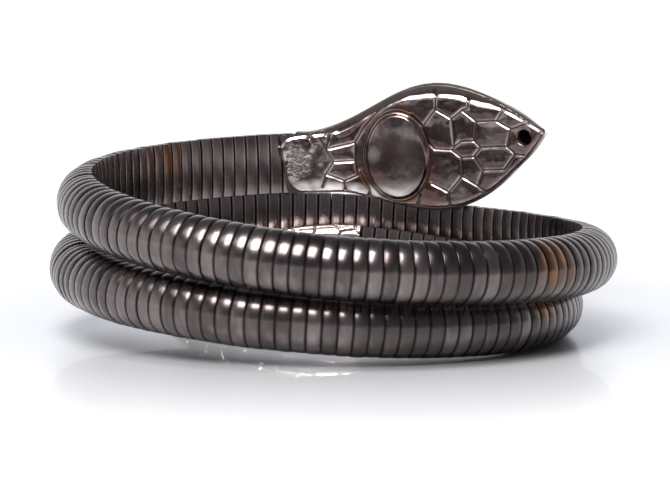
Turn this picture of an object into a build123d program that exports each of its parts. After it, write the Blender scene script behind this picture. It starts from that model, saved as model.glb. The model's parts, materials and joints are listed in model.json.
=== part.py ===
from build123d import *
from math import atan2, ceil, cos, degrees, hypot, radians, sin, sqrt
import os

# Snake bracelet, in millimetres, +Z up, standing on Z = 0 with the middle of the coil at X = Y = 0.
# A springy band of half-round ribs runs almost twice round, from a cast head at the upper back to a
# cast tail cap that lies inside the coil at the lower back. The wrist goes through the coil along Z.

# Band
coil_radius = 29.4
band_height = 7.1
band_depth = 4.2
band_corner = 0.65
rib_pitch = 1.62
rib_gap = 0.2

# Spring strip inside the ribs, and the room round it
spring_height = 3.6
spring_thickness = 0.7
spring_room = 0.35
spring_in_head = 2.2
spring_in_tail = 3.05
spring_step = 3.4

# Head: a flat plate on the wrist side, with a bowed shell behind it
head_length = 33.4
head_half_width = 7.2
head_depth = 6.2
head_bend_radius = 50.0
head_lift = 8.0
head_drop = 0.12
head_toe_in = 9.0
head_wall = 0.8
rim_share = 1.06
bevel_share = 0.13
plate_thickness = 0.5
plate_room = 0.28
tongue_length = 1.4
vent_diameter = 1.8
oval_half_length = 3.75
oval_half_width = 5.1
oval_lean = 7.0
oval_raise = 0.35
groove_width = 0.24
groove_depth = 0.2
scale_size = 1.75
eye_radius = 1.35
eye_reach = 0.74

# Tail cap
tail_length = 26.0
tail_corner = 1.5
tail_scale_size = 1.38

# Route of the band's middle: turn in degrees from the back, round by the left,
# step outwards from coil_radius as a share of band_depth, height as a share of band_height
coil_route = [
    (8, 0.22, 2.31),
    (45, 0.03, 2.25),
    (90, -0.14, 2.15),
    (135, -0.07, 1.91),
    (180, 0.14, 1.58),
    (225, 0.38, 1.37),
    (270, 0.36, 1.23),
    (315, 0.35, 1.145),
    (360, 0.44, 1.235),
    (405, 0.40, 1.20),
    (450, 0.07, 1.03),
    (495, -0.38, 0.87),
    (540, -0.52, 0.66),
    (585, -0.42, 0.52),
    (630, -0.57, 0.508),
    (675, -0.71, 0.61),
    (710, -0.76, 0.80),
    (738, -0.76, 0.735),
    (766, -0.74, 0.165),
]

# Head sections: place along the head as a share of head_length, half width and the middle's rise
# as shares of head_half_width, depth as a share of head_depth
head_sections = [
    (0.058, 0.49, 0.00, 0.84),
    (0.20, 0.52, 0.00, 0.82),
    (0.31, 0.69, 0.00, 0.86),
    (0.43, 0.90, 0.00, 0.94),
    (0.55, 1.00, 0.00, 1.00),
    (0.65, 0.945, 0.00, 0.97),
    (0.77, 0.73, 0.01, 0.84),
    (0.88, 0.40, 0.05, 0.60),
    (1.00, 0.045, 0.12, 0.08),
]
hollow_from = 1
hollow_to = 7

# Places on the head: share of head_length along it, share of head_half_width up from its middle
vent_place = (0.917, 0.06)
oval_place = (0.41, -0.05)
eye_place = (0.64, 0.58)

# Grooves between the plate's scales, each a straight cut from one such place to another
plate_grooves = [
    (0.58, 0.98, 0.57, 0.67),
    (0.57, 0.67, 0.63, 0.48),
    (0.63, 0.48, 0.69, 0.62),
    (0.69, 0.62, 0.71, 0.84),
    (0.68, 0.61, 0.73, 0.40),
    (0.73, 0.40, 0.81, 0.38),
    (0.81, 0.38, 0.83, 0.50),
    (0.81, 0.38, 0.86, 0.24),
    (0.86, 0.24, 0.83, -0.03),
    (0.83, -0.03, 0.86, -0.18),
    (0.73, -0.03, 0.83, -0.03),
    (0.63, 0.48, 0.63, 0.02),
    (0.63, 0.02, 0.65, 0.09),
    (0.65, 0.09, 0.71, 0.09),
    (0.71, 0.09, 0.73, -0.03),
    (0.73, -0.03, 0.70, -0.18),
    (0.70, -0.18, 0.65, -0.18),
    (0.65, -0.18, 0.62, -0.04),
    (0.73, 0.40, 0.71, 0.09),
    (0.54, -0.01, 0.62, -0.04),
    (0.65, -0.18, 0.64, -0.48),
    (0.64, -0.48, 0.58, -0.73),
    (0.58, -0.73, 0.52, -0.55),
    (0.58, -0.73, 0.58, -0.90),
    (0.64, -0.48, 0.70, -0.66),
    (0.70, -0.18, 0.73, -0.41),
    (0.73, -0.41, 0.81, -0.42),
    (0.81, -0.42, 0.86, -0.18),
    (0.73, -0.41, 0.70, -0.66),
    (0.18, -0.03, 0.26, -0.05),
    (0.26, -0.05, 0.26, -0.29),
    (0.26, -0.29, 0.21, -0.36),
    (0.21, -0.36, 0.14, -0.22),
    (0.14, -0.22, 0.18, -0.03),
    (0.21, -0.36, 0.20, -0.51),
    (0.26, -0.05, 0.26, 0.25),
    (0.26, 0.25, 0.30, 0.48),
    (0.21, 0.47, 0.29, 0.60),
]

# Tail cap sections: place along the cap as a share of tail_length,
# height and depth as shares of band_height and band_depth
tail_sections = [
    (0.00, 1.06, 1.08),
    (0.20, 1.02, 1.06),
    (0.45, 0.88, 0.96),
    (0.70, 0.66, 0.78),
    (0.88, 0.48, 0.58),
    (1.00, 0.34, 0.42),
]

os.makedirs("parts", exist_ok=True)


# The middle line of the band
def route_point(turn, step, height):
    reach = coil_radius + step * band_depth
    return Vector(-reach * sin(radians(turn)), reach * cos(radians(turn)), height * band_height)


with BuildLine() as route:
    Spline(*[route_point(*row) for row in coil_route])
around = route.edges()[0].bounding_box().center()
middle = route.edges()[0].moved(Location((-around.X, -around.Y, 0)))
ribbed_length = middle.length - tail_length


def band_plane(distance):
    """Plane across the band at a length along it: x outwards, y up, z towards the head."""
    tangent = middle.tangent_at(distance, position_mode=PositionMode.LENGTH)
    origin = middle.position_at(distance, position_mode=PositionMode.LENGTH)
    return Plane(origin=origin, x_dir=tangent.cross(Vector(0, 0, 1)), z_dir=-tangent)


def band_sketch(height, depth, corner):
    """Half-round section with its flat side towards the wrist."""
    inner = -depth / 2
    bow = inner + corner
    flat = height / 2 - corner
    with BuildSketch() as section:
        with BuildLine():
            ThreePointArc((bow, height / 2), (depth / 2, 0), (bow, -height / 2))
            RadiusArc((bow, -height / 2), (inner, -flat), corner)
            Line((inner, -flat), (inner, flat))
            RadiusArc((inner, flat), (bow, height / 2), corner)
        make_face()
    return section.sketch


slot_depth = spring_thickness + 2 * spring_room
slot_height = spring_height + 2 * spring_room

# One rib, slotted for the spring strip: a wedge cut by two planes through the middle of the coil
rib_count = int(ribbed_length / rib_pitch)
rib_step = ribbed_length / rib_count
half_wedge = rib_step / coil_radius / 2
with BuildPart() as rib:
    with BuildSketch(Plane.XY):
        add(band_sketch(band_height, band_depth, band_corner))
        Rectangle(slot_depth, slot_height, mode=Mode.SUBTRACT)
    extrude(amount=rib_step, both=True)
    for side in (-1, 1):
        facing = Vector(-sin(half_wedge), 0, side * cos(half_wedge))
        face_point = Vector(-coil_radius, 0, 0) - facing * (rib_gap / 2)
        split(bisect_by=Plane(origin=face_point, z_dir=facing), keep=Keep.BOTTOM)

# The ribs of the upper and the lower turn, which meet at the back of the second level
rib_planes = [band_plane((place + 0.5) * rib_step) for place in range(rib_count)]
half_count = rib_count // 2

with BuildPart() as ribs_upper_turn:
    with Locations(*rib_planes[:half_count]):
        add(rib.part)
ribs_upper_turn.part.label = "ribs_upper_turn"
export_step(ribs_upper_turn.part, "parts/ribs_upper_turn.step")

with BuildPart() as ribs_lower_turn:
    with Locations(*rib_planes[half_count:]):
        add(rib.part)
ribs_lower_turn.part.label = "ribs_lower_turn"
export_step(ribs_lower_turn.part, "parts/ribs_lower_turn.step")

# Spring strip: straight facets along the band, from the head's socket to the tail's
spring_length = spring_in_head + ribbed_length + spring_in_tail
spring_count = round(spring_length / spring_step)
with BuildPart() as spring_core:
    for facet in range(spring_count + 1):
        distance = spring_length * facet / spring_count - spring_in_head
        with BuildSketch(band_plane(max(distance, 0)).offset(max(-distance, 0))):
            Rectangle(spring_thickness, spring_height)
    loft(ruled=True)
spring_core.part.label = "spring_core"
export_step(spring_core.part, "parts/spring_core.step")

# The head's own frame: x along the head, y up, z towards the wrist, origin at the plate's neck end
heading = radians(coil_route[0][0] - head_toe_in)
lift = radians(head_lift)
plate_reach = band_depth / 2 + plate_room + plate_thickness
head_frame = Plane(
    origin=band_plane(0).from_local_coords(Vector(-plate_reach, -head_drop, -tongue_length)),
    x_dir=(cos(heading) * cos(lift), sin(heading) * cos(lift), sin(lift)),
    z_dir=(sin(heading), -cos(heading), 0),
)


def head_plane(along_share, up_share=0):
    """Plane across the head at a place on its plate: x outwards from the wrist, y up, z to the tip."""
    bend = along_share * head_length / head_bend_radius
    seat = Plane(
        origin=(head_bend_radius * sin(bend), 0, head_bend_radius * (1 - cos(bend))),
        x_dir=(sin(bend), 0, -cos(bend)),
        z_dir=(cos(bend), 0, sin(bend)),
    )
    return Plane(head_frame.location * seat.location * Location((0, up_share * head_half_width, 0)))


def shell_sketch(width, depth):
    """Flat plate with bevelled edges, and a bow behind it."""
    half_width = width * head_half_width
    front = depth * head_depth
    bevel = bevel_share * front
    rim = rim_share * half_width
    with BuildSketch() as section:
        with BuildLine():
            Polyline((bevel, -rim), (0, -half_width), (0, half_width), (bevel, rim))
            ThreePointArc((bevel, rim), (front, 0), (bevel, -rim))
        make_face()
    return section.sketch


def inner_sketch(width, depth, inset, back):
    """The room inside the bow, inset from it all round, with its flat side at back."""
    half_width = width * head_half_width - inset
    with BuildSketch() as section:
        with BuildLine():
            Line((back, -half_width), (back, half_width))
            ThreePointArc((back, half_width), (depth * head_depth - inset, 0), (back, -half_width))
        make_face()
    return section.sketch


with BuildPart() as head_room:
    for along, width, rise, depth in head_sections[hollow_from:hollow_to + 1]:
        with BuildSketch(head_plane(along, rise)):
            add(inner_sketch(width, depth, head_wall, plate_thickness))
    loft()


def hexagon_web(across, length, height, size, start, reach):
    """Thin walls between hexagons, spread over a plane whose x is across and z lies along the piece."""
    columns = ceil(length / (sqrt(3) * size)) + 1
    rows = ceil(height / (2 * size)) + 1
    spread = Plane(origin=across.origin, x_dir=across.z_dir, z_dir=across.x_dir).offset(start)
    with BuildPart() as web:
        with BuildSketch(spread):
            Rectangle(length, height)
            with HexLocations(size, columns, rows):
                RegularPolygon(size - groove_width / 2, 6, major_radius=False, mode=Mode.SUBTRACT)
        extrude(amount=reach)
    return web.part


# Web over the head's bow, no deeper than the grooves
with BuildPart() as bow_web:
    add(hexagon_web(head_plane(0.5), head_length, 2 * head_half_width, scale_size, 0, 2 * head_depth))
    with BuildPart(mode=Mode.PRIVATE) as bow_floor:
        for along, width, rise, depth in head_sections:
            with BuildSketch(head_plane(along, rise)):
                add(shell_sketch(width, depth - groove_depth / head_depth))
        loft()
    add(bow_floor.part, mode=Mode.SUBTRACT)

with BuildPart() as bow:
    for along, width, rise, depth in head_sections:
        with BuildSketch(head_plane(along, rise)):
            add(shell_sketch(width, depth))
    loft()
    add(bow_web.part, mode=Mode.SUBTRACT)

# Head: shell, plate tongue, oval pad and eyes are one soldered piece
with BuildPart() as head:
    add(bow.part.solids().sort_by(SortBy.VOLUME)[-1])
    with Locations(*[head_plane(eye_place[0], side * eye_place[1]) for side in (-1, 1)]):
        with Locations((eye_reach * head_depth, 0, 0)):
            Sphere(eye_radius)
    add(head_room.part, mode=Mode.SUBTRACT)
    # Tongue of the plate over the first ribs
    neck_start, neck_share = head_sections[0][:2]
    with BuildSketch(head_plane(neck_start)):
        with Locations((plate_thickness / 2, 0)):
            Rectangle(plate_thickness, 2 * neck_share * head_half_width)
    extrude(amount=-neck_start * head_length)
    # Oval pad, bare and slightly raised
    pad = head_plane(*oval_place)
    with BuildSketch(Plane(origin=pad.origin, x_dir=pad.z_dir, z_dir=-pad.x_dir).offset(-plate_thickness)):
        Ellipse(oval_half_length, oval_half_width, rotation=oval_lean)
    extrude(amount=plate_thickness + oval_raise)
    # Grooves between the plate's scales
    for from_along, from_up, to_along, to_up in plate_grooves:
        run = (to_along - from_along) * head_length
        climb = (to_up - from_up) * head_half_width
        seat = head_plane((from_along + to_along) / 2, (from_up + to_up) / 2)
        with Locations(seat):
            tilt = degrees(atan2(-climb, run))
            Box(2 * groove_depth, groove_width, hypot(run, climb), rotation=(tilt, 0, 0), mode=Mode.SUBTRACT)
    # Vent hole near the tip, into the hollow
    vent = head_plane(*vent_place)
    with Locations(Plane(origin=vent.origin, x_dir=vent.z_dir, z_dir=vent.x_dir)):
        Cylinder(vent_diameter / 2, 4 * plate_thickness, mode=Mode.SUBTRACT)
    # Blind socket of the spring strip in the neck
    with BuildSketch(band_plane(0)):
        Rectangle(slot_depth, slot_height)
    extrude(amount=spring_in_head + spring_room, mode=Mode.SUBTRACT)
head.part.label = "head"
export_step(head.part, "parts/head.step")


def tail_loft(inset):
    """The cap's tapered body, inset all round its sections."""
    with BuildPart() as body:
        for along, height, depth in tail_sections:
            distance = ribbed_length + rib_gap + along * (tail_length - rib_gap)
            with BuildSketch(band_plane(distance)):
                corner = height * tail_corner
                add(band_sketch(height * band_height - 2 * inset, depth * band_depth - 2 * inset, corner))
        loft()
    return body.part


# Tail cap: tapered and solid, with a socket for the spring strip and rows of hexagon scales
tail_middle = band_plane(ribbed_length + tail_length / 2)
with BuildPart() as tail_web:
    reach = coil_radius
    add(hexagon_web(tail_middle, tail_length, 2 * band_height, tail_scale_size, -reach / 2, reach))
    add(tail_loft(groove_depth), mode=Mode.SUBTRACT)

with BuildPart() as tail_cap:
    add((tail_loft(0) - tail_web.part).solids().sort_by(SortBy.VOLUME)[-1])
    with BuildSketch(band_plane(ribbed_length)):
        Rectangle(slot_depth, slot_height)
    extrude(amount=-(spring_in_tail + spring_room), mode=Mode.SUBTRACT)
tail_cap.part.label = "tail_cap"
export_step(tail_cap.part, "parts/tail_cap.step")

print("ribs", rib_count, "ribbed length", ribbed_length, "route length", middle.length)
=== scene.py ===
import json
import math
import random

import bmesh
import bpy
import numpy as np
from mathutils import Matrix, Vector, noise

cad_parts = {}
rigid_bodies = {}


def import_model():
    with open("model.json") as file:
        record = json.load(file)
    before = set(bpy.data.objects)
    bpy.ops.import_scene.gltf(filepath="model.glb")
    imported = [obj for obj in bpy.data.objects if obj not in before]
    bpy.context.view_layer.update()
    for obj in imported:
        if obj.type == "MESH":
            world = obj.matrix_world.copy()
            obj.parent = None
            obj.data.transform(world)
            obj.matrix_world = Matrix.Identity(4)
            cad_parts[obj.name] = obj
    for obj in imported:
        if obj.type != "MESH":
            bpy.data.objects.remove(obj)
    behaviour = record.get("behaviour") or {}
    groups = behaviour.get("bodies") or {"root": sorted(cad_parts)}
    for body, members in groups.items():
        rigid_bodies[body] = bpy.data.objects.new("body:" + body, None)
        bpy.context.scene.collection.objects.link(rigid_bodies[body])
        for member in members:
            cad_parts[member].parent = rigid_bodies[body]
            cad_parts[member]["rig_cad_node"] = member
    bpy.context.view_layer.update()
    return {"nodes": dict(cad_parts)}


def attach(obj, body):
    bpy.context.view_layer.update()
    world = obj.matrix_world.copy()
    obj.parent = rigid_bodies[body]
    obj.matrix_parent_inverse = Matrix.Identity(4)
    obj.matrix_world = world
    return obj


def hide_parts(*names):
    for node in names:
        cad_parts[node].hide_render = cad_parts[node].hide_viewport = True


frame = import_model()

# Snake bracelet lying on a pale floor, in metres, in the frame's own axes: the wrist goes through it
# along Z, the head lies across the back at +Y, and the tail cap rests on the floor behind the front.
mm = 0.001

# Springy band: two turns of crowned half-round ribs, rolled from one strip of silver that has
# tarnished to a dark grey-brown. Each rib is hollow, with a flat side towards the wrist, and the
# ribs sit a hair apart so that the coil can spring open round a hand.
band_height = 7.1 * mm
band_depth = 4.2 * mm
band_corner = 0.65 * mm
corner_bevel = 0.95 * band_corner
band_radius = 29.4 * mm
bow_centre = band_corner - band_depth / 2
rib_facets = 32
rib_gap = 0.03 * mm
rib_wall = 0.5 * mm
rib_crown = 0.032 * mm
back_crown = 0.2 * rib_crown
rib_rounding = 0.05 * mm
rounding_start = 0.86
# Above and below this height the flat side eases away from the wrist
ease_height = 2.2 * mm
ease_depth = 0.12 * mm
ease_reach = band_height / 2 - band_corner - ease_height
# How unevenly the ribs sit
rib_tilt = math.radians(0.25)
rib_shift = 0.02 * mm
# Points closer than weld are one, and a point within slack of a face lies on it
weld = 0.001 * mm
slack = 0.1 * mm
# Behind the head's neck the lower turn bears on the upper one: which ribs rise there, and by how much
bearing_ribs = (108, 112, 117, 122, 128, 136)
bearing_lift = (0, 0.24 * mm, 0.40 * mm, 0.28 * mm, 0.28 * mm, 0)


def deselect_all():
    bpy.ops.object.select_all(action="DESELECT")


def make_active(piece):
    deselect_all()
    piece.select_set(True)
    bpy.context.view_layer.objects.active = piece


def select_edges(piece, test):
    """In edit mode, leaves selected only the edges whose two ends both pass the test."""
    bpy.ops.mesh.select_mode(type="EDGE")
    bpy.ops.mesh.select_all(action="DESELECT")
    mesh = bmesh.from_edit_mesh(piece.data)
    for edge in mesh.edges:
        if all(test(end.co) for end in edge.verts):
            edge.select_set(True)
    mesh.select_flush_mode()
    bmesh.update_edit_mesh(piece.data)


def smooth(piece, degrees):
    make_active(piece)
    bpy.ops.object.shade_smooth_by_angle(angle=math.radians(degrees))


def joined(pieces):
    """Joins the pieces into the first of them."""
    deselect_all()
    for piece in pieces:
        piece.select_set(True)
    bpy.context.view_layer.objects.active = pieces[0]
    bpy.ops.object.join()
    return bpy.context.object


def mark(piece, name, values):
    """Gives each vertex a number, which the piece's material reads by its name."""
    marks = piece.data.attributes.new(name, "FLOAT", "POINT")
    marks.data.foreach_set("value", values)


def coat(piece, material):
    piece.data.materials.clear()
    piece.data.materials.append(material)


def rib_places():
    """Each rib's node and corner points, and each rib's middle, in order from the head to the tail."""
    islands = []
    for node in ("ribs_upper_turn", "ribs_lower_turn"):
        mesh = bmesh.new()
        mesh.from_mesh(frame["nodes"][node].data)
        bmesh.ops.remove_doubles(mesh, verts=mesh.verts, dist=weld)
        waiting = set(mesh.verts)
        while waiting:
            reached = [waiting.pop()]
            island = []
            while reached:
                vert = reached.pop()
                island.append(tuple(vert.co))
                for edge in vert.link_edges:
                    other = edge.other_vert(vert)
                    if other in waiting:
                        waiting.remove(other)
                        reached.append(other)
            islands.append((node, np.array(island)))
        mesh.free()
    middles = np.array([(points.min(0) + points.max(0)) / 2 for node, points in islands])
    order = [int(middles[:, 2].argmax())]
    left = set(range(len(islands))) - set(order)
    while left:
        here = middles[order[-1]]
        order.append(min(left, key=lambda index: float(np.sum((middles[index] - here) ** 2))))
        left.remove(order[-1])
    return [islands[index] for index in order], middles[order]


def rib_seats():
    """A matrix for each rib: x outwards from the wrist, y up, z along the band towards the head."""
    islands, middles = rib_places()
    along = np.gradient(middles, axis=0, edge_order=2)
    along /= np.linalg.norm(along, axis=1)[:, None]
    lifts = np.interp(range(len(islands)), bearing_ribs, bearing_lift)
    seats = []
    for (node, points), middle, tangent, lift in zip(islands, middles, along, lifts):
        outwards = np.cross(tangent, (0, 0, 1))
        outwards /= np.linalg.norm(outwards)
        upwards = np.cross(-tangent, outwards)
        axes = np.array([outwards, upwards, -tangent])
        spread = (points - middle) @ axes.T
        origin = middle + (spread.min(0) + spread.max(0)) / 2 @ axes + lift * upwards
        seat = Matrix.Identity(4)
        for row in range(3):
            seat[row] = (*axes[:, row], origin[row])
        seats.append((node, seat))
    pitch = float(np.linalg.norm(np.diff(middles, axis=0), axis=1).mean())
    return seats, pitch


seats, rib_pitch = rib_seats()
rib_half = (rib_pitch - rib_gap) / 2

# One rib: half a tube, closed with a flat back, rounded corners and a crown along the band
deselect_all()
bpy.ops.mesh.primitive_cylinder_add(
    vertices=rib_facets, radius=band_height / 2, depth=2 * rib_half, end_fill_type="NOTHING",
    location=(bow_centre, 0, 0), rotation=(0, 0, math.pi / rib_facets),
)
rib = bpy.context.object
bpy.ops.object.transform_apply(location=True, rotation=True, scale=True)
bpy.ops.object.mode_set(mode="EDIT")
bpy.ops.mesh.select_all(action="SELECT")
bpy.ops.mesh.bisect(plane_co=(bow_centre, 0, 0), plane_no=(1, 0, 0), clear_inner=True)
select_edges(rib, lambda co: co.x < bow_centre + weld)
bpy.ops.mesh.extrude_region_move(TRANSFORM_OT_translate={"value": (-band_corner, 0, 0)})
bpy.ops.mesh.bridge_edge_loops()
select_edges(rib, lambda co: co.x < -band_depth / 2 + weld and abs(co.y) > band_height / 2 - weld)
bpy.ops.mesh.bevel(offset=corner_bevel, segments=3, affect="EDGES")
select_edges(rib, lambda co: abs(co.z) > rib_half - weld)
bpy.ops.mesh.extrude_region_move()
bore_share = (1 - 2 * rib_wall / band_depth, 1 - 2 * rib_wall / band_height, 1)
bpy.ops.transform.resize(value=bore_share, center_override=(0, 0, 0))
bpy.ops.mesh.bridge_edge_loops()
for share in (-rounding_start, 0, rounding_start):
    bpy.ops.mesh.select_all(action="SELECT")
    bpy.ops.mesh.bisect(plane_co=(0, 0, share * rib_half), plane_no=(0, 0, 1))
for height in (-ease_height, ease_height):
    bpy.ops.mesh.select_all(action="SELECT")
    bpy.ops.mesh.bisect(plane_co=(0, height, 0), plane_no=(0, 1, 0))
bpy.ops.mesh.select_all(action="SELECT")
bpy.ops.mesh.normals_make_consistent(inside=False)
bpy.ops.object.mode_set(mode="OBJECT")

# Marks for the tarnish and the painted light: the place across the rib, its wrist side, and the hem of that
# side, where a reflection of the floor is painted
vertices = rib.data.vertices
back_start = bow_centre - weld
hem_top = -ease_height - slack
mark(rib, "across", [vert.co.z / rib_half for vert in vertices])
mark(rib, "inside", [float(vert.co.x < back_start) for vert in vertices])
mark(rib, "hem", [float(vert.co.x < back_start and vert.co.y < hem_top) for vert in vertices])

# The flat side eases away, both sides crown and round off towards the joints, and the rib narrows
# towards the wrist, as the band bends round it
for vert in vertices:
    share = vert.co.z / rib_half
    if vert.co.x < -band_depth / 2 + slack:
        vert.co.x += ease_depth * max(0.0, abs(vert.co.y) - ease_height) / ease_reach
    rounding = rib_rounding * (max(0.0, abs(share) - rounding_start) / (1 - rounding_start)) ** 2
    drop = (rib_crown * share ** 2 + rounding) / (band_height / 2)
    vert.co.y *= 1 - drop
    if vert.co.x > bow_centre:
        vert.co.x = bow_centre + (vert.co.x - bow_centre) * (1 - drop)
    else:
        vert.co.x += (back_crown * share ** 2 + rounding) * (bow_centre - vert.co.x) / band_corner
    vert.co.z *= 1 + vert.co.x / band_radius
smooth(rib, degrees=50)


def mixed(tree, factor, first, second):
    """A mix of two colours or colour sockets by a factor socket."""
    mix = tree.nodes.new("ShaderNodeMix")
    mix.data_type = "RGBA"
    tree.links.new(factor, mix.inputs["Factor"])
    for socket, value in ((mix.inputs["A"], first), (mix.inputs["B"], second)):
        if isinstance(value, tuple):
            socket.default_value = value + (1,)
        else:
            tree.links.new(value, socket)
    return mix.outputs["Result"]


def calc(tree, operation, first, second=None, clamp=False):
    """One step of arithmetic on sockets or numbers."""
    step = tree.nodes.new("ShaderNodeMath")
    step.operation = operation
    step.use_clamp = clamp
    for socket, value in zip(step.inputs, (first, second)):
        if value is None:
            continue
        if isinstance(value, (int, float)):
            socket.default_value = value
        else:
            tree.links.new(value, socket)
    return step.outputs[0]


def plus(tree, first, second):
    return calc(tree, "ADD", first, second)


def times(tree, first, second):
    return calc(tree, "MULTIPLY", first, second)


def ramp(tree, value, low, high):
    """0 to 1 as a value goes from low to high, eased at both ends."""
    step = tree.nodes.new("ShaderNodeMapRange")
    step.interpolation_type = "SMOOTHSTEP"
    tree.links.new(value, step.inputs["Value"])
    step.inputs["From Min"].default_value = low
    step.inputs["From Max"].default_value = high
    return step.outputs["Result"]


def grain(tree, coords, size, detail=3.0, stretch=(1, 1, 1)):
    """Noise whose features are about size across, on Object coordinates."""
    mapping = tree.nodes.new("ShaderNodeMapping")
    mapping.inputs["Scale"].default_value = stretch
    tree.links.new(coords, mapping.inputs["Vector"])
    texture = tree.nodes.new("ShaderNodeTexNoise")
    texture.inputs["Scale"].default_value = 1 / size
    texture.inputs["Detail"].default_value = detail
    tree.links.new(mapping.outputs["Vector"], texture.inputs["Vector"])
    return texture.outputs["Fac"]


def attribute(tree, name):
    node = tree.nodes.new("ShaderNodeAttribute")
    node.attribute_name = name
    return node.outputs["Fac"]


def separate(tree, vector):
    """The X, Y and Z of a vector socket."""
    split = tree.nodes.new("ShaderNodeSeparateXYZ")
    tree.links.new(vector, split.inputs[0])
    return split.outputs


def near(tree, coords, place, reach, core=0.35):
    """1 at a place on the bracelet, falling to 0 at reach from it, from the core's share of the way."""
    distance = tree.nodes.new("ShaderNodeVectorMath")
    distance.operation = "DISTANCE"
    tree.links.new(coords, distance.inputs[0])
    distance.inputs[1].default_value = place
    return ramp(tree, distance.outputs["Value"], reach, reach * core)


def bump(tree, surface, height, strength, distance):
    step = tree.nodes.new("ShaderNodeBump")
    step.inputs["Strength"].default_value = strength
    step.inputs["Distance"].default_value = distance
    tree.links.new(height, step.inputs["Height"])
    tree.links.new(step.outputs["Normal"], surface.inputs["Normal"])


def new_metal(name, mean_roughness):
    """A metal with its node tree, its shader and the Object coordinates that its patterns follow."""
    material = bpy.data.materials.new(name)
    material.use_nodes = True
    tree = material.node_tree
    surface = tree.nodes["Principled BSDF"]
    surface.inputs["Metallic"].default_value = 1.0
    surface.inputs["Roughness"].default_value = mean_roughness
    coords = tree.nodes.new("ShaderNodeTexCoord").outputs["Object"]
    return material, tree, surface, coords


# Tarnish of the ribs: a dark film, lighter towards the left, copper-brown stains where it has lifted, a
# rubbed wrist side, and dark joints. On the wrist side a highlight is painted along the rib edges, and a
# reflection of the floor along the hem. Each range is where a mark or a pattern begins to show, and where it
# shows in full.
film_dark = (0.08, 0.066, 0.065)
film_worn = (0.18, 0.153, 0.152)
film_range = (0.34, 0.72)
wear_of_cloud = 0.6
wear_of_streak = 0.35
wear_of_tone = 0.12
lighter_per_metre = 3.0
wrist_rubbed = (0.2, 0.167, 0.165)
wrist_range = (0.2, 0.55)
stain_brown = (0.23, 0.10, 0.042)
stain_range = (0.3, 0.62)
stains = [
    ((-0.0200, 0.0189, 0.0178), 0.0043),
    ((0.0250, -0.0215, 0.0115), 0.0045),
    ((0.0225, -0.0165, 0.0060), 0.0035),
]
hem_painted_reflection = (0.46, 0.4, 0.39)
hem_reflection_share = 0.6
edge_painted_highlight = (0.5, 0.42, 0.41)
edge_highlight_range = (0.58, 0.76)
edge_highlight_share = 0.5
joint_dark = (0.03, 0.023, 0.022)
outer_joint_range = (0.66, 0.97)
inner_joint_range = (0.78, 0.9)
band_roughness = 0.17
cloud_roughness = 0.16

band_silver, tree, surface, coords = new_metal("band_silver", mean_roughness=0.3)
cloud = grain(tree, coords, 6 * mm)
streak = grain(tree, coords, 1.1 * mm, detail=2.0, stretch=(1, 1, 0.25))
across = calc(tree, "ABSOLUTE", attribute(tree, "across"))
wrist_side = attribute(tree, "inside")
film = plus(tree, times(tree, cloud, wear_of_cloud), times(tree, streak, wear_of_streak))
film = plus(tree, film, times(tree, attribute(tree, "tone"), wear_of_tone))
# The film grows lighter towards the left, towards -X
film = calc(tree, "SUBTRACT", film, times(tree, separate(tree, coords)["X"], lighter_per_metre))
colour = mixed(tree, ramp(tree, film, *film_range), film_dark, film_worn)
colour = mixed(tree, times(tree, wrist_side, ramp(tree, cloud, *wrist_range)), colour, wrist_rubbed)
for place, reach in stains:
    spot = times(tree, near(tree, coords, place, reach), ramp(tree, streak, *stain_range))
    colour = mixed(tree, spot, colour, stain_brown)
# Painted reflection of the floor along the hem of the wrist side
colour = mixed(tree, times(tree, attribute(tree, "hem"), hem_reflection_share), colour, hem_painted_reflection)
# Painted highlight along the rib edges on the wrist side
edge_highlight_mask = times(tree, wrist_side, times(tree, ramp(tree, across, *edge_highlight_range), edge_highlight_share))
colour = mixed(tree, edge_highlight_mask, colour, edge_painted_highlight)
outer_joint = calc(tree, "SUBTRACT", ramp(tree, across, *outer_joint_range), wrist_side, True)
inner_joint = times(tree, ramp(tree, across, *inner_joint_range), wrist_side)
colour = mixed(tree, plus(tree, outer_joint, inner_joint), colour, joint_dark)
tree.links.new(colour, surface.inputs["Base Color"])
roughness = plus(tree, times(tree, cloud, cloud_roughness), band_roughness)
tree.links.new(roughness, surface.inputs["Roughness"])
bump(tree, surface, streak, strength=0.25, distance=0.06 * mm)

random.seed(7)
for node in ("ribs_upper_turn", "ribs_lower_turn"):
    copies = []
    for rib_node, seat in seats:
        if rib_node != node:
            continue
        copy = rib.copy()
        copy.data = rib.data.copy()
        bpy.context.collection.objects.link(copy)
        sway = Matrix.Rotation(random.gauss(0, rib_tilt), 4, "X")
        sway = sway @ Matrix.Rotation(random.gauss(0, rib_tilt), 4, "Y")
        shift = Matrix.Translation((random.gauss(0, rib_shift), random.gauss(0, rib_shift), 0))
        copy.data.transform(seat @ shift @ sway)
        mark(copy, "tone", [random.uniform(-1, 1)] * len(copy.data.vertices))
        copies.append(copy)
    turn = joined(copies)
    turn.name = node.replace("ribs", "ribs_of")
    coat(turn, band_silver)
    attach(turn, "root")
    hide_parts(node)
bpy.data.objects.remove(rib)

# Spring strip: flat steel inside the ribs, seated in the head and the tail cap, dark with age, and
# seen only in the joints between the ribs.
steel_dark = (0.03, 0.026, 0.025)
steel_worn = (0.09, 0.08, 0.078)
spring_steel, tree, surface, coords = new_metal("spring_steel", mean_roughness=0.45)
colour = mixed(tree, grain(tree, coords, 2 * mm), steel_dark, steel_worn)
tree.links.new(colour, surface.inputs["Base Color"])
coat(frame["nodes"]["spring_core"], spring_steel)

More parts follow.
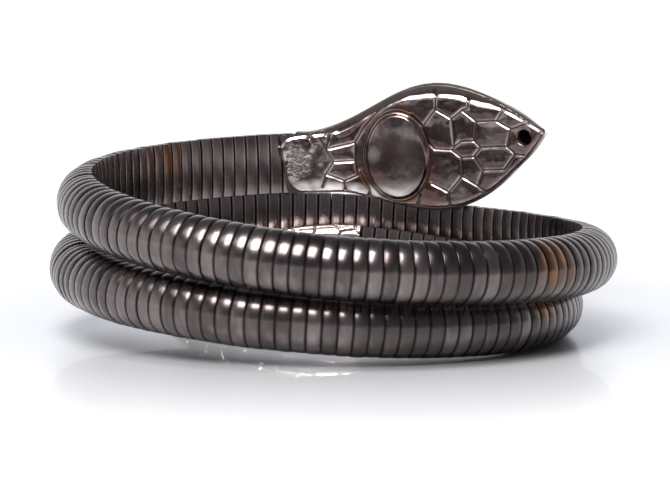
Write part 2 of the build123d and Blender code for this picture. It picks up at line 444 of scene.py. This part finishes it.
# Head: cast in silver as a bow of scales with two round eyes. A flat plate, bent to the wrist and chased
# with scales, is soldered over its open side, with a bare oval pad in its middle and a vent at its tip.
# Its sizes are in millimetres, and places on the plate are (along it from the neck, up from its middle).
# The neck end of the plate, where the CAD model's route for the band puts it
head_origin = np.array((-5.81016, 26.38039, 16.24504))
head_heading = math.radians(-1.0)
head_lift = math.radians(8.0)
head_bend = 50.0
head_along = np.array((
    math.cos(head_heading) * math.cos(head_lift),
    math.sin(head_heading) * math.cos(head_lift),
    math.sin(head_lift),
))
head_inwards = np.array((math.sin(head_heading), -math.cos(head_heading), 0))
head_up = np.cross(head_inwards, head_along)
# The plate's outline: a place along it, with its lower and its upper edge there
plate_outline = np.array((
    (-0.15, 0.40, 0.40), (-0.12, -0.90, 1.70), (-0.05, -1.60, 2.10), (0.10, -2.10, 2.40),
    (0.30, -2.55, 2.65), (0.60, -3.00, 2.90), (1.00, -3.35, 3.05), (2.40, -3.70, 3.15),
    (3.80, -3.88, 3.10), (7.00, -4.30, 3.20), (9.60, -5.15, 4.05), (12.20, -6.15, 5.10),
    (15.00, -6.95, 6.03), (17.60, -7.35, 6.62), (19.50, -7.40, 6.64), (21.00, -7.25, 6.46),
    (22.60, -6.85, 6.10), (24.60, -6.00, 5.35), (26.30, -5.05, 4.58), (28.20, -3.75, 3.70),
    (30.30, -2.30, 2.55), (31.60, -1.30, 1.80), (33.00, 0.05, 0.95), (33.45, 0.53, 0.53),
))
outline_places, lower_edge, upper_edge = plate_outline.T
scale_lines = [
    [(19.6, 6.8), (19.2, 4.5), (21.1, 3.2), (22.6, 4.1), (23.4, 4.3), (23.7, 5.9)],
    [(22.6, 4.1), (24.3, 2.6), (27.0, 2.5), (28.0, 3.6)],
    [(27.0, 2.5), (28.8, 1.4), (31.2, 2.0)],
    [(28.8, 1.4), (27.9, -0.6), (28.9, -1.6), (30.1, -1.8)],
    [(24.4, -0.5), (27.9, -0.6)],
    [(21.1, 3.2), (21.0, -0.1)],
    [
        (21.0, -0.1), (21.8, 0.4), (23.6, 0.4), (24.4, -0.5),
        (23.3, -1.5), (21.7, -1.5), (20.6, -0.5), (21.0, -0.1),
    ],
    [(24.3, 2.6), (23.6, 0.4)],
    [(17.8, 0.6), (18.5, -0.2), (20.6, -0.5)],
    [(21.7, -1.5), (21.4, -3.7), (19.5, -5.5), (17.5, -4.2)],
    [(19.5, -5.5), (19.3, -7.2)],
    [(21.4, -3.7), (23.3, -5.0), (24.3, -6.0)],
    [(23.3, -1.5), (24.3, -3.2), (27.2, -3.3), (28.9, -1.6)],
    [(24.3, -3.2), (23.3, -5.0)],
    [(5.9, -0.4), (8.5, -0.6), (8.6, -2.3), (6.9, -2.8), (4.8, -1.7), (5.9, -0.4)],
    [(6.9, -2.8), (6.8, -3.9)],
    [(8.5, -0.6), (8.8, 1.6), (10.1, 3.3), (12.3, 5.2)],
    [(7.1, 3.2), (9.6, 4.1)],
    [(8.9, -1.9), (9.7, -4.1), (9.6, -4.9)],
    [(15.3, -6.7), (15.8, -5.3)],
    [(16.1, 4.1), (17.4, 2.7), (17.8, 0.6)],
    [(19.2, 4.5), (17.4, 2.7)],
    [(4.8, -1.7), (4.2, -3.1)],
    [(5.9, -0.4), (5.2, 1.2), (6.0, 2.9)],
    [(5.2, 1.2), (8.8, 1.6)],
]
groove_depth = 0.17
groove_width = 0.16
pillow_height = 0.08
pillow_reach = 0.7
dent_height = 0.08
ripple_height = 0.014
upper_slope = 0.68
neck_bevel = 0.25
jaw_bevel = 0.8
lower_slope = 0.75
lower_bevel = 0.32
roll_width = 1.9
roll_narrowing = 0.6
roll_drop = 0.42
pad_middle = (13.75, -0.6)
pad_half = (3.8, 5.1)
pad_lean = math.radians(6.5)
pad_wall = (0.93, 1.03)
pad_height = 0.36
pad_dome = 0.1
pad_shoulder = 0.22
pad_dent_share = 0.35
moat_share = 1.06
moat_width = 0.03
moat_depth = 0.1
vent_place = (30.6, 0.3)
vent_radius = 0.88
vent_depth = 0.55
vent_edge = 0.12
lip_height = 0.06
lip_width = 0.16
lip_reach = vent_radius + 0.25
grain_place = (1.6, 0.1)
grain_height = 0.05
grit_height = 0.03
bare_place = (4.2, -0.2)
# Lumps of solder by the neck: along, up and height
solder_lumps = (
    (3.5, 2.6, 0.45), (3.8, 2.1, 0.35), (3.5, 1.6, 0.25), (5.5, 2.6, 0.3), (3.0, 0.9, 0.12), (4.4, -0.2, 0.1),
)
lump_area = 0.13
# The rim behind the plate's edge: how far under its face each step lies, and how far in
rim_steps = ((0.5, 0.0), (0.62, 0.45))
rim_drop = 0.05


def head_points(along, up, proud):
    """Points of the plate, bent about an axis on the wrist's side, in metres."""
    turn = along / head_bend
    reach = (head_bend - proud)[:, None]
    outwards = np.sin(turn)[:, None] * head_along - np.cos(turn)[:, None] * head_inwards
    return (head_origin + head_bend * head_inwards + reach * outwards + up[:, None] * head_up) * mm


def head_places(points):
    """The reverse: along, up and proud in millimetres, for points in metres."""
    spread = points / mm - head_origin - head_bend * head_inwards
    run, reach = spread @ head_along, -(spread @ head_inwards)
    return np.arctan2(run, reach) * head_bend, spread @ head_up, head_bend - np.hypot(run, reach)


def through(places, values, where):
    """A smooth curve through the values."""
    slopes = np.gradient(values, places)
    start = np.clip(np.searchsorted(places, where) - 1, 0, len(places) - 2)
    end = start + 1
    step = places[end] - places[start]
    share = (where - places[start]) / step
    rise = share ** 2 * (3 - 2 * share)
    lean = share * (1 - share) ** 2 * step * slopes[start] + share ** 2 * (share - 1) * step * slopes[end]
    return values[start] + rise * (values[end] - values[start]) + lean


def distance_to(line, along, up):
    """Distance of each place from a line of straight runs."""
    nearest = np.full(len(along), np.inf)
    for (x0, y0), (x1, y1) in zip(line[:-1], line[1:]):
        share = ((along - x0) * (x1 - x0) + (up - y0) * (y1 - y0)) / ((x1 - x0) ** 2 + (y1 - y0) ** 2)
        share = np.clip(share, 0, 1)
        nearest = np.minimum(nearest, np.hypot(along - x0 - share * (x1 - x0), up - y0 - share * (y1 - y0)))
    return nearest


def fade(value, low, high):
    """0 to 1 as a value goes from low to high, eased at both ends."""
    share = np.clip((value - low) / (high - low), 0, 1)
    return share * share * (3 - 2 * share)


def within(value, low, high):
    """The reverse: 1 to 0 as a value goes from low to high."""
    return 1 - fade(value, low, high)


def hump(value, width):
    """1 where a value is 0, falling off on both sides within about the width."""
    return np.exp(-(value / width) ** 2)


def from_place(place, along, up, squash=1):
    """Distance of each place from one place. A squash under 1 makes its rings taller than wide."""
    return np.hypot(along - place[0], squash * (up - place[1]))


def bumps(along, up, size, seed):
    """Smooth noise whose features are about size across."""
    return np.array([noise.noise(Vector((a / size, b / size, seed))) for a, b in zip(along, up)])


def points_of(piece):
    """The place of each vertex, a row each."""
    points = np.empty(3 * len(piece.data.vertices))
    piece.data.vertices.foreach_get("co", points)
    return points.reshape(-1, 3)


def move_points(piece, points):
    piece.data.vertices.foreach_set("co", points.ravel())
    piece.data.update()


# A grid is spread over the plate's outline, with finer rows towards the neck
row_spread = 1.12
deselect_all()
bpy.ops.mesh.primitive_grid_add(x_subdivisions=300, y_subdivisions=130, size=2)
plate = bpy.context.object
run_share, rise_share = (points_of(plate)[:, :2].T + 1) / 2
along = outline_places[0] + (outline_places[-1] - outline_places[0]) * run_share ** row_spread
low = through(outline_places, lower_edge, along)
high = through(outline_places, upper_edge, along)
up = low + rise_share * (high - low)
on_low = rise_share == rise_share.min()
on_high = rise_share == rise_share.max()
from_low = distance_to(sorted(zip(along[on_low], low[on_low])), along, up)
from_high = distance_to(sorted(zip(along[on_high], high[on_high])), along, up)
to_line = np.min([distance_to(line, along, up) for line in scale_lines], axis=0)
pad_run, pad_rise = along - pad_middle[0], up - pad_middle[1]
pad_x = pad_run * math.cos(pad_lean) - pad_rise * math.sin(pad_lean)
pad_y = pad_run * math.sin(pad_lean) + pad_rise * math.cos(pad_lean)
pad_share = np.hypot(pad_x / pad_half[0], pad_y / pad_half[1])
moat = hump(pad_share - moat_share, moat_width)
outside = fade(pad_share, 1.0, moat_share)
from_vent = from_place(vent_place, along, up)
grainy = within(from_place(grain_place, along, up, squash=0.85), 1.3, 2.1)
grit = bumps(along, up, size=0.24, seed=5.2)
# The bevel of the upper edge is widest over the jaw, and the lower edge's roll narrows towards it
over_jaw = fade(along, 15.0, 18.0) * within(along, 24.5, 28.0)
upper_bevel = neck_bevel + (jaw_bevel - neck_bevel) * over_jaw
roll = roll_width * (1 - roll_narrowing * fade(along, 14, 20))

# Relief: chased lines between pillowed scales, bevelled rim, oval pad, grain of solder, vent
proud = -groove_depth * hump(to_line, groove_width) * outside
proud += pillow_height * (1 - hump(to_line, pillow_reach)) * outside
dents = dent_height * bumps(along, up, size=2.4, seed=3.1)
dents += ripple_height * bumps(along, up, size=0.6, seed=7.7)
proud += dents * (pad_dent_share + (1 - pad_dent_share) * outside)
proud -= upper_slope * np.maximum(upper_bevel - from_high, 0)
proud -= lower_slope * np.maximum(lower_bevel - from_low, 0)
proud -= roll_drop * np.maximum(1 - from_low / roll, 0) ** 2
proud += pad_height * within(pad_share, *pad_wall)
proud += np.maximum(pad_dome * (1 - pad_share ** 2) + pad_shoulder * (1 - pad_share ** 4), 0)
proud -= moat_depth * moat
proud += grainy * (grain_height * bumps(along, up, size=0.5, seed=1.3) + grit_height * grit)
for lump_along, lump_up, lump in solder_lumps:
    proud += lump * np.exp(-((along - lump_along) ** 2 + (up - lump_up) ** 2) / lump_area)
proud += lip_height * hump(from_vent - lip_reach, lip_width)
proud -= vent_depth * within(from_vent, vent_radius - vent_edge, vent_radius + vent_edge)

# Marks for the finish, each a share: dark cavities (the vent's is past 1, for its painted shade), rust beside
# the pad and the lines, and bright metal: worn bare on the roll, where a reflection of the floor is painted
# too, a painted reflection on the pad's lower part, painted highlights on its left side, the grit, the lines'
# shoulders and the bevels, and a worn bare patch by the neck
cavity = hump(to_line, 0.1) * outside + moat
# The vent's mark, past 1, is for painted shade in the hole
cavity = np.maximum(cavity, 2 * within(from_vent, vent_radius - 0.1, vent_radius + 0.15))
patchy = 0.5 + bumps(along, up, size=1.4, seed=9.4)
rust = 0.8 * hump(pad_share - 1.14, 0.12) * patchy
rust += 0.5 * hump(to_line, 0.25) * within(along, 9, 12) * outside * patchy
# On the roll the bright metal is partly worn bare and partly a painted reflection of the floor
on_roll = within(from_low, 0.5 * roll, roll) * within(along, 11, 15)
polish_and_sheen = on_roll * (0.75 + 0.7 * bumps(along, up, size=1.1, seed=4.2))
# Painted reflection of the floor on the pad's lower part
polish_and_sheen += 0.9 * within(pad_share, 0.8, 1.0) * within(pad_y, -4.6, -2.4)
# Painted glints on the grit by the neck
polish_and_sheen += grainy * np.clip(0.85 + 0.9 * grit, 0, 1)
# Painted highlight on the pad's left side
polish_and_sheen += 0.9 * within(np.hypot(pad_x + 2.9, pad_y - 0.3), 0.4, 1.3)
# Painted highlights on the lines' shoulders and on the bevels
polish_and_sheen += 0.4 * hump(to_line - groove_width, 0.07)
polish_and_sheen += 0.7 * (from_high < upper_bevel) + 0.7 * (from_low < lower_bevel)
bare_patch = within(from_place(bare_place, along, up, squash=0.8), 0.7, 2.6)
polish_and_sheen += 0.45 * bare_patch * (0.6 + 1.2 * bumps(along, up, size=0.9, seed=6.4))
move_points(plate, head_points(along, up, proud))
mark(plate, "cavity", cavity)
mark(plate, "rust", np.clip(rust, 0, 1))
mark(plate, "polish_and_sheen", np.clip(polish_and_sheen, 0, 1))

# The plate's rim, and a plain back inside the bow
make_active(plate)
bpy.ops.object.mode_set(mode="EDIT")
bpy.ops.mesh.select_all(action="SELECT")
bpy.ops.mesh.remove_doubles(threshold=2 * weld)
bpy.ops.mesh.select_all(action="DESELECT")
bpy.ops.mesh.select_non_manifold(
    extend=False, use_wire=False, use_multi_face=False, use_non_contiguous=False, use_verts=False,
)
for depth, inset in rim_steps:
    bpy.ops.mesh.extrude_region_move()
    mesh = bmesh.from_edit_mesh(plate.data)
    rim = [vert for vert in mesh.verts if vert.select]
    rim_along, rim_up, rim_proud = head_places(np.array([vert.co for vert in rim]))
    rim_low = through(outline_places, lower_edge, rim_along)
    rim_high = through(outline_places, upper_edge, rim_along)
    rim_up += np.clip((rim_low + rim_high) / 2 - rim_up, -inset, inset)
    for vert, place in zip(rim, head_points(rim_along, rim_up, np.minimum(rim_proud - rim_drop, -depth))):
        vert.co = place
    bmesh.update_edit_mesh(plate.data)
rim.sort(key=lambda vert: float(head_places(np.array([vert.co]))[0][0]))
neck_end, tip_end = rim[0], rim[-1]
chains = []
for edge in neck_end.link_edges:
    if not edge.is_boundary:
        continue
    chain = [neck_end, edge.other_vert(neck_end)]
    while chain[-1] is not tip_end:
        steps = [side.other_vert(chain[-1]) for side in chain[-1].link_edges if side.is_boundary]
        chain.append(steps[0] if steps[0] is not chain[-2] else steps[1])
    chains.append(chain)
one, other = chains
for corners in zip(one, one[1:], other[1:], other):
    mesh.faces.new(list(dict.fromkeys(corners)))
bmesh.update_edit_mesh(plate.data)
bpy.ops.mesh.select_all(action="SELECT")
bpy.ops.mesh.normals_make_consistent(inside=False)
bpy.ops.object.mode_set(mode="OBJECT")


def soften(piece, rounds):
    """Relaxes the whole mesh of the active piece, one round after another."""
    bpy.ops.object.mode_set(mode="EDIT")
    bpy.ops.mesh.select_all(action="SELECT")
    bpy.ops.mesh.vertices_smooth(factor=0.5, repeat=rounds)
    bpy.ops.object.mode_set(mode="OBJECT")


def cast_copy(node, grid, shine):
    """The outer skin of a solid with soft cast edges, marked where it is hollow and where it is proud."""
    full_hollow = 0.09 * mm
    full_ridge = 0.05 * mm
    rust_share = 0.3
    ridge_shine = 0.5
    copy = frame["nodes"][node].copy()
    copy.data = copy.data.copy()
    # A new piece doesn't carry the solid's own mark
    del copy["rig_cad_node"]
    bpy.context.collection.objects.link(copy)
    make_active(copy)
    bpy.ops.object.mode_set(mode="EDIT")
    bpy.ops.mesh.select_all(action="SELECT")
    bpy.ops.mesh.remove_doubles(threshold=weld)
    bpy.ops.object.mode_set(mode="OBJECT")
    remesh = copy.modifiers.new("cast", "REMESH")
    remesh.mode = "VOXEL"
    remesh.voxel_size = grid
    bpy.ops.object.modifier_apply(modifier="cast")
    mesh = bmesh.new()
    mesh.from_mesh(copy.data)
    reached = [max(mesh.verts, key=lambda vert: vert.co.z)]
    skin = set(reached)
    while reached:
        for edge in reached.pop().link_edges:
            for vert in edge.verts:
                if vert not in skin:
                    skin.add(vert)
                    reached.append(vert)
    bmesh.ops.delete(mesh, geom=[vert for vert in mesh.verts if vert not in skin], context="VERTS")
    mesh.to_mesh(copy.data)
    mesh.free()
    soften(copy, rounds=2)
    kept = points_of(copy)
    facing = np.empty(kept.size)
    copy.data.vertices.foreach_get("normal", facing)
    soften(copy, rounds=30)
    depth = np.sum((points_of(copy) - kept) * facing.reshape(-1, 3), axis=1)
    move_points(copy, kept)
    hollow = np.clip(depth / full_hollow, 0, 1)
    mark(copy, "cavity", hollow)
    mark(copy, "rust", rust_share * hollow)
    mark(copy, "polish_and_sheen", shine + ridge_shine * np.clip(-depth / full_ridge, 0, 1))
    return copy


# The bow stays under the plate's face, deeper round the vent, and has painted shade along the soldered seam
bow_drop = 0.25
vent_drop = 0.5
seam_shade = 0.8
bow = cast_copy("head", grid=0.16 * mm, shine=0.0)
along, up, proud = head_places(points_of(bow))
under_face = bow_drop + vent_drop * within(from_place(vent_place, along, up), 1.2, 1.6)
proud = np.minimum(proud, -under_face)
move_points(bow, head_points(along, up, proud))
hollows = bow.data.attributes["cavity"].data
shaded = np.empty(len(hollows))
hollows.foreach_get("value", shaded)
hollows.foreach_set("value", np.maximum(shaded, seam_shade * fade(proud, -0.8, -0.3)))

# Cast silver: cloudy grey film over pitted metal, with a reddish haze, rust, bright rubbed places and painted
# highlights and reflections, near black in the deepest grooves, and painted shade in the vent
cast_dark = (0.1, 0.08, 0.078)
cast_worn = (0.33, 0.275, 0.27)
cast_haze = (0.2, 0.105, 0.085)
cast_bright = (0.72, 0.65, 0.63)
cast_rust = (0.2, 0.075, 0.035)
groove_dark = (0.03, 0.018, 0.014)
vent_painted_shade = (0.002, 0.002, 0.002)
worn_range = (0.35, 0.68)
haze_range = (0.45, 0.7)
haze_share = 0.6
groove_range = (0.3, 1.0)
vent_range = (1.3, 1.9)
cast_roughness = 0.1
groove_roughness = 0.3
cast_silver, tree, surface, coords = new_metal("cast_silver", mean_roughness=0.2)
cloud = grain(tree, coords, 4 * mm)
pits = grain(tree, coords, 0.6 * mm, detail=4.0)
cavity = attribute(tree, "cavity")
worn = plus(tree, times(tree, cloud, 0.7), times(tree, pits, 0.3))
colour = mixed(tree, ramp(tree, worn, *worn_range), cast_dark, cast_worn)
blotch = grain(tree, coords, 2.4 * mm, detail=4.0)
haze = times(tree, ramp(tree, blotch, *haze_range), haze_share)
colour = mixed(tree, haze, colour, cast_haze)
# Bright metal: worn places, and painted highlights and reflections
colour = mixed(tree, attribute(tree, "polish_and_sheen"), colour, cast_bright)
colour = mixed(tree, attribute(tree, "rust"), colour, cast_rust)
colour = mixed(tree, ramp(tree, cavity, *groove_range), colour, groove_dark)
# Painted shade: near black inside the vent
colour = mixed(tree, ramp(tree, cavity, *vent_range), colour, vent_painted_shade)
tree.links.new(colour, surface.inputs["Base Color"])
roughness = plus(tree, times(tree, cloud, cloud_roughness), cast_roughness)
roughness = plus(tree, roughness, times(tree, cavity, groove_roughness))
tree.links.new(roughness, surface.inputs["Roughness"])
bump(tree, surface, pits, strength=0.2, distance=0.05 * mm)

snake_head = joined([plate, bow])
snake_head.name = "head_of_snake"
coat(snake_head, cast_silver)
smooth(snake_head, degrees=42)
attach(snake_head, "root")
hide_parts("head")

# Tail: a solid cap, cast in silver over the band's end, tapered and covered in scales, and polished
# by rubbing on whatever the bracelet lies on.
tail = cast_copy("tail_cap", grid=0.1 * mm, shine=0.35)
tail.name = "tail_of_snake"
coat(tail, cast_silver)
smooth(tail, degrees=60)
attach(tail, "root")
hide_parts("tail_cap")

# Floor: a glossy pale sheet. Its gloss is strongest round the bracelet and ends further out. Outside the coil
# the sheet glows, painted light that lifts the shadows round the bracelet and further out whitens it to the
# backdrop. Inside the coil it doesn't glow, and stays darker.
floor_grey = (0.42, 0.423, 0.43, 1)
haze_tint = (0.82, 0.85, 0.92, 1)
mirror_share = 0.22


def slope(tree, distance, start, end, at_start, at_end):
    """A value that changes evenly with the distance from the bracelet's middle."""
    step = tree.nodes.new("ShaderNodeMapRange")
    tree.links.new(distance, step.inputs["Value"])
    for name, value in (("From Min", start), ("From Max", end), ("To Min", at_start), ("To Max", at_end)):
        step.inputs[name].default_value = value
    return step.outputs["Result"]


def blended(tree, factor, first, second):
    """A mix of two shaders, by a number or a socket."""
    mix = tree.nodes.new("ShaderNodeMixShader")
    if isinstance(factor, float):
        mix.inputs[0].default_value = factor
    else:
        tree.links.new(factor, mix.inputs[0])
    tree.links.new(first.outputs[0], mix.inputs[1])
    tree.links.new(second.outputs[0], mix.inputs[2])
    return mix


deselect_all()
bpy.ops.mesh.primitive_plane_add(size=6)
floor = bpy.context.object
floor.name = "floor"
pale = bpy.data.materials.new("pale_floor")
pale.use_nodes = True
tree = pale.node_tree
surface = tree.nodes["Principled BSDF"]
surface.inputs["Base Color"].default_value = floor_grey
surface.inputs["Roughness"].default_value = 0.6
surface.inputs["Specular IOR Level"].default_value = 0.0
surface.inputs["Emission Color"].default_value = (1, 1, 1, 1)
hazy = tree.nodes.new("ShaderNodeBsdfGlossy")
hazy.inputs["Roughness"].default_value = 0.3
hazy.inputs["Color"].default_value = haze_tint
mirror = tree.nodes.new("ShaderNodeBsdfGlossy")
mirror.inputs["Roughness"].default_value = 0.02
grazing = tree.nodes.new("ShaderNodeFresnel")
grazing.inputs["IOR"].default_value = 1.45
away = tree.nodes.new("ShaderNodeVectorMath")
away.operation = "LENGTH"
tree.links.new(tree.nodes.new("ShaderNodeTexCoord").outputs["Object"], away.inputs[0])
distance = away.outputs["Value"]
gloss = slope(tree, distance, start=0.033, end=0.1, at_start=1.4, at_end=0.0)
# Painted light: a glow that lifts the shadows by the bracelet and whitens the floor further out, none inside
# the coil
glow = slope(tree, distance, start=0.12, end=0.7, at_start=0.42, at_end=1.1)
glow = times(tree, glow, ramp(tree, distance, 0.0295, 0.0335))
tree.links.new(glow, surface.inputs["Emission Strength"])
shine = calc(tree, "MULTIPLY", grazing.outputs[0], gloss, True)
sheet = blended(tree, shine, surface, blended(tree, mirror_share, hazy, mirror))
tree.links.new(sheet.outputs[0], tree.nodes["Material Output"].inputs["Surface"])
coat(floor, pale)

# Light: a white room, darker overhead and in front, most of all to the right, with a large softbox above
# the front and a small one to the left.
horizon_white = (1.0, 1.0, 1.02)
front_grey = (0.28, 0.28, 0.3)
ceiling_grey = (0.19, 0.19, 0.2)
world = bpy.data.worlds.new("studio")
bpy.context.scene.world = world
world.use_nodes = True
tree = world.node_tree
direction = separate(tree, tree.nodes.new("ShaderNodeTexCoord").outputs["Generated"])
height = ramp(tree, direction["Z"], 0.25, 0.65)
forward = calc(tree, "SUBTRACT", direction["Y"], times(tree, direction["X"], 0.6))
wall = mixed(tree, ramp(tree, forward, 0.1, -0.5), horizon_white, front_grey)
tree.links.new(mixed(tree, height, wall, ceiling_grey), tree.nodes["Background"].inputs["Color"])
tree.nodes["Background"].inputs["Strength"].default_value = 1.0


def softbox(name, place, target, width, depth, power):
    light = bpy.data.lights.new(name, "AREA")
    light.shape = "RECTANGLE"
    light.size = width
    light.size_y = depth
    light.energy = power
    lamp = bpy.data.objects.new(name, light)
    bpy.context.collection.objects.link(lamp)
    lamp.location = place
    lamp.rotation_euler = (Vector(target) - Vector(place)).to_track_quat("-Z", "Y").to_euler()


softbox(
    "overhead", place=(-0.13, -0.315, 0.535), target=(0, -0.03, 0.015),
    width=0.33, depth=0.4, power=8.5,
)
softbox(
    "left", place=(-0.354, -0.166, 0.514), target=(0.012, 0.026, 0.03),
    width=0.24, depth=0.24, power=0.45,
)

# Camera: low in front of the bracelet. The shifts are in pixels of the photo, which is 670 wide.
coil_middle = Vector((-0.5658, -0.6161, 10)) * mm
view_height = math.radians(7.19)
view_distance = 621.08 * mm
photo_width = 670
shift_right = 7
shift_down = 4.3
camera = bpy.data.objects.new("camera", bpy.data.cameras.new("camera"))
bpy.context.collection.objects.link(camera)
camera.location = coil_middle + Vector((0, -math.cos(view_height), math.sin(view_height))) * view_distance
camera.rotation_euler = (math.pi / 2 - view_height, 0, 0)
camera.data.sensor_width = 36
camera.data.lens = 292.3
camera.data.shift_x = shift_right / photo_width
camera.data.shift_y = -shift_down / photo_width
camera.data.clip_start = 0.01
bpy.context.scene.camera = camera
bpy.context.scene.view_settings.view_transform = "Standard"
